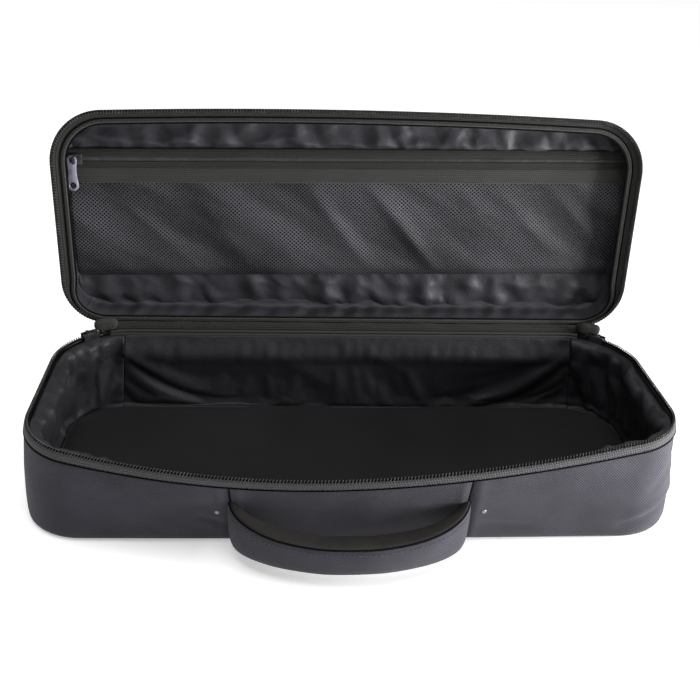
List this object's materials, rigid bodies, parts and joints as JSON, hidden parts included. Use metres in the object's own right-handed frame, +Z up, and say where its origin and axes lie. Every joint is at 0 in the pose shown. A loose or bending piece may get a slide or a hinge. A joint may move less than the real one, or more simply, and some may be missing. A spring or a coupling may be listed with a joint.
{
  "type": "carry case",
  "caption": "Long soft-sided padded carry case for miniatures, shown open: foam-walled tub, zip lid with a mesh pocket, padded grab handle on the front.",
  "frame": {"origin": "centre of the base's bottom face", "axes": "+X to the right seen from the front (handle side), +Y to the back (hinge side), +Z up"},
  "size_m": [0.516, 0.2976, 0.2766],
  "materials": {
    "outer_fabric": "charcoal nylon with a fine diagonal weave",
    "lining": "black satin lining, wrinkled",
    "foam": "closed-cell foam",
    "board": "plastic stiffening board",
    "webbing": "ribbed woven tape",
    "coil": "nylon zip coil",
    "mesh": "diamond mesh netting",
    "slider_metal": "dark enamelled zip slider",
    "pull_metal": "bright metal pull",
    "rivet_metal": "small metal rivet"
  },
  "bodies": {
    "base": {"base_bottom_fabric": "outer_fabric", "base_board": "board", "base_bottom_foam": "foam", "base_floor_lining": "lining", "base_outer_band": "outer_fabric", "base_front_panel": "outer_fabric", "base_foam_front": "foam", "base_foam_back": "foam", "base_foam_left": "foam", "base_foam_right": "foam", "base_lining_front": "lining", "base_lining_back": "lining", "base_lining_left": "lining", "base_lining_right": "lining", "base_zip_tape": "webbing", "base_zip_coil": "coil", "left_side_tab": "webbing", "right_side_tab": "webbing", "handle_rivets": "rivet_metal", "left_handle_end": "outer_fabric", "right_handle_end": "outer_fabric", "hinge_strip": "webbing"},
    "handle": {"handle_outer_cover": "outer_fabric", "handle_inner_cover": "outer_fabric", "handle_foam_core": "foam", "handle_webbing": "webbing"},
    "lid": {"lid_top_fabric": "outer_fabric", "lid_outer_band": "outer_fabric", "lid_board": "board", "lid_top_foam": "foam", "lid_foam_front": "foam", "lid_foam_back": "foam", "lid_foam_left": "foam", "lid_foam_right": "foam", "lid_panel_lining": "lining", "lid_lining_front": "lining", "lid_lining_back": "lining", "lid_lining_left": "lining", "lid_lining_right": "lining", "lid_zip_tape": "webbing", "lid_zip_coil": "coil", "lid_rim_binding": "webbing", "pocket_mesh": "mesh", "pocket_hem": "webbing", "pocket_tape_lower": "webbing", "pocket_tape_upper": "webbing", "pocket_coil": "coil"},
    "left_slider": {"left_slider_body": "slider_metal"},
    "left_pull": {"left_pull_tab": "pull_metal"},
    "right_slider": {"right_slider_body": "slider_metal"},
    "right_pull": {"right_pull_tab": "pull_metal"},
    "pocket_slider": {"pocket_slider_body": "slider_metal"},
    "pocket_pull": {"pocket_pull_tab": "pull_metal"}
  },
  "joints": [
    {"name": "lid_hinge", "type": "hinge", "parent": "base", "child": "lid", "pos_m": [0, 0.096, 0.0848], "axis": [-1, 0, 0], "range_deg": [-95, 79], "deforming": ["hinge_strip"]},
    {"name": "handle_swing", "type": "hinge", "parent": "base", "child": "handle", "pos_m": [0, -0.108, 0.044], "axis": [-1, 0, 0], "range_deg": [0, 65]},
    {"name": "left_slider_travel", "type": "hinge", "parent": "base", "child": "left_slider", "pos_m": [-0.193, 0.038, 0.0838], "axis": [0, 0, 1], "range_deg": [0, 44]},
    {"name": "left_pull_swing", "type": "hinge", "parent": "left_slider", "child": "left_pull", "pos_m": [-0.22784, 0.08776, 0.0793], "axis": [0.8192, 0.5736, 0], "range_deg": [0, 55]},
    {"name": "right_slider_travel", "type": "hinge", "parent": "base", "child": "right_slider", "pos_m": [0.193, 0.038, 0.0838], "axis": [0, 0, -1], "range_deg": [0, 44]},
    {"name": "right_pull_swing", "type": "hinge", "parent": "right_slider", "child": "right_pull", "pos_m": [0.22784, 0.08776, 0.0793], "axis": [0.8192, -0.5736, 0], "range_deg": [0, 55]},
    {"name": "pocket_slider_travel", "type": "slide", "parent": "lid", "child": "pocket_slider", "axis": [0.9999, 0.0012, 0.0139], "range_m": [0, 0.463]},
    {"name": "pocket_pull_swing", "type": "hinge", "parent": "pocket_slider", "child": "pocket_pull", "pos_m": [-0.23296, 0.12658, 0.22496], "axis": [-0.9999, -0.0012, -0.0139], "range_deg": [0, 150]}
  ]
}
